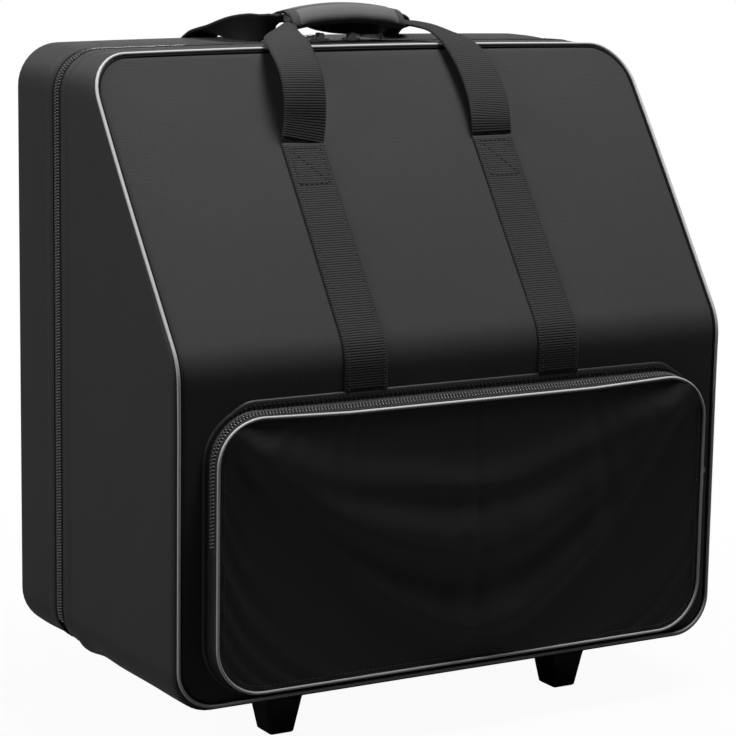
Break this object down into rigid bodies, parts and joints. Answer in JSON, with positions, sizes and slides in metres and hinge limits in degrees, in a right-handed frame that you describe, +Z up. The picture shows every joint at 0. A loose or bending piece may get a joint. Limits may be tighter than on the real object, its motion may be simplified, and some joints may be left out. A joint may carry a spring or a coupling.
{
  "type": "accordion case",
  "caption": "Wedge-fronted soft case for a piano accordion with a zipped rear half, front pocket, webbing carry handle, feet, wheels and telescopic trolley handle.",
  "frame": {"origin": "middle of the footprint, on the floor under the feet and wheels", "axes": "+X to the case's right seen from its front, -Y out of the front with the pocket, +Z up"},
  "size_m": [0.544, 0.352, 0.606],
  "materials": {
    "shell_cloth": "matte",
    "plush_lining": "plush",
    "piping": "satin",
    "zip_cloth": "matte",
    "webbing": "ribbed",
    "grip_cloth": "matte",
    "pocket_cloth": "soft sheen",
    "foot_plastic": "moulded",
    "button_plastic": "satin",
    "steel": "zinc plated",
    "tube_metal": "anodised",
    "tyre": "matte",
    "hub_plastic": "satin",
    "slider_metal": "satin black",
    "pull_cord": "braided"
  },
  "bodies": {
    "front_case": {"front_shell": "shell_cloth", "front_lining": "plush_lining", "front_piping": "piping", "front_zip_tape": "zip_cloth", "hinge_strip_front": "shell_cloth", "base_pad": "plush_lining", "front_strap_right": "webbing", "front_strap_left": "webbing", "foot_right": "foot_plastic", "foot_left": "foot_plastic", "foot_screws": "steel", "pocket_gusset": "pocket_cloth", "pocket_lower_panel": "pocket_cloth", "pocket_lower_piping": "piping", "pocket_zip_tape_fixed": "zip_cloth"},
    "pocket_flap": {"pocket_flap_panel": "pocket_cloth", "pocket_flap_piping": "piping", "pocket_flap_zip_tape": "zip_cloth"},
    "carry_handle": {"handle_loop_right": "webbing", "handle_loop_left": "webbing", "handle_front_run": "webbing", "handle_grip_sleeve": "grip_cloth", "handle_grip_flap": "grip_cloth"},
    "rear_case": {"rear_shell": "shell_cloth", "rear_lining": "plush_lining", "rear_zip_tape": "zip_cloth", "hinge_strip_rear": "shell_cloth", "rear_strap_right": "webbing", "rear_strap_left": "webbing", "rear_loop_right": "webbing", "rear_loop_left": "webbing", "rear_loop_run": "webbing", "trolley_outer_tubes": "tube_metal", "trolley_bezel": "foot_plastic", "trolley_base": "foot_plastic", "trolley_screws": "steel", "wheel_bracket_right": "foot_plastic", "wheel_bracket_left": "foot_plastic", "wheel_axles": "steel", "wheel_bracket_screws": "steel"},
    "wheel_right": {"wheel_tyre_right": "tyre", "wheel_hub_right": "hub_plastic"},
    "wheel_left": {"wheel_tyre_left": "tyre", "wheel_hub_left": "hub_plastic"},
    "trolley_handle": {"trolley_inner_tubes": "tube_metal", "trolley_grip": "foot_plastic"},
    "trolley_button": {"trolley_button": "button_plastic"},
    "main_slider_left": {"main_slider_left": "slider_metal"},
    "main_slider_right": {"main_slider_right": "slider_metal"},
    "main_pull_left": {"main_pull_left": "pull_cord"},
    "main_pull_right": {"main_pull_right": "pull_cord"},
    "pocket_slider": {"pocket_slider": "slider_metal"},
    "pocket_pull": {"pocket_pull": "pull_cord"}
  },
  "joints": [
    {"name": "rear_case_open", "type": "hinge", "parent": "front_case", "child": "rear_case", "pos_m": [0, 0.071, 0.046], "axis": [-1, 0, 0], "range_deg": [0, 110]},
    {"name": "carry_handle_fold", "type": "hinge", "parent": "front_case", "child": "carry_handle", "pos_m": [0, -0.04254, 0.49455], "axis": [1, 0, 0], "range_deg": [0, 115]},
    {"name": "pocket_flap_fold", "type": "hinge", "parent": "front_case", "child": "pocket_flap", "pos_m": [0, -0.1764, 0.184], "axis": [1, 0, 0], "range_deg": [0, 95]},
    {"name": "trolley_slide", "type": "slide", "parent": "rear_case", "child": "trolley_handle", "axis": [0, 0, 1], "range_m": [0, 0.38]},
    {"name": "trolley_button_press", "type": "slide", "parent": "trolley_handle", "child": "trolley_button", "axis": [0, 0, -1], "range_m": [0, 0.003], "stiffness_N_per_m": 400},
    {"name": "wheel_right_spin", "type": "hinge", "parent": "rear_case", "child": "wheel_right", "pos_m": [0.155, 0.155, 0.021], "axis": [1, 0, 0], "continuous": true},
    {"name": "wheel_left_spin", "type": "hinge", "parent": "rear_case", "child": "wheel_left", "pos_m": [-0.155, 0.155, 0.021], "axis": [1, 0, 0], "continuous": true},
    {"name": "main_slider_left_run", "type": "slide", "parent": "front_case", "child": "main_slider_left", "axis": [-1, 0, -0.0087], "range_m": [0, 0.18]},
    {"name": "main_slider_right_run", "type": "slide", "parent": "front_case", "child": "main_slider_right", "axis": [1, 0, -0.0087], "range_m": [0, 0.18]},
    {"name": "main_pull_left_swing", "type": "hinge", "parent": "main_slider_left", "child": "main_pull_left", "pos_m": [-0.016, 0.071, 0.57659], "axis": [0, 1, 0], "range_deg": [0, 14]},
    {"name": "main_pull_right_swing", "type": "hinge", "parent": "main_slider_right", "child": "main_pull_right", "pos_m": [0.016, 0.071, 0.57659], "axis": [0, -1, 0], "range_deg": [0, 14]},
    {"name": "pocket_slider_run", "type": "slide", "parent": "front_case", "child": "pocket_slider", "axis": [0, 0, 1], "range_m": [0, 0.04]},
    {"name": "pocket_pull_swing", "type": "hinge", "parent": "pocket_slider", "child": "pocket_pull", "pos_m": [0.2466, -0.164, 0.202], "axis": [0, -1, 0], "range_deg": [0, 150]}
  ]
}
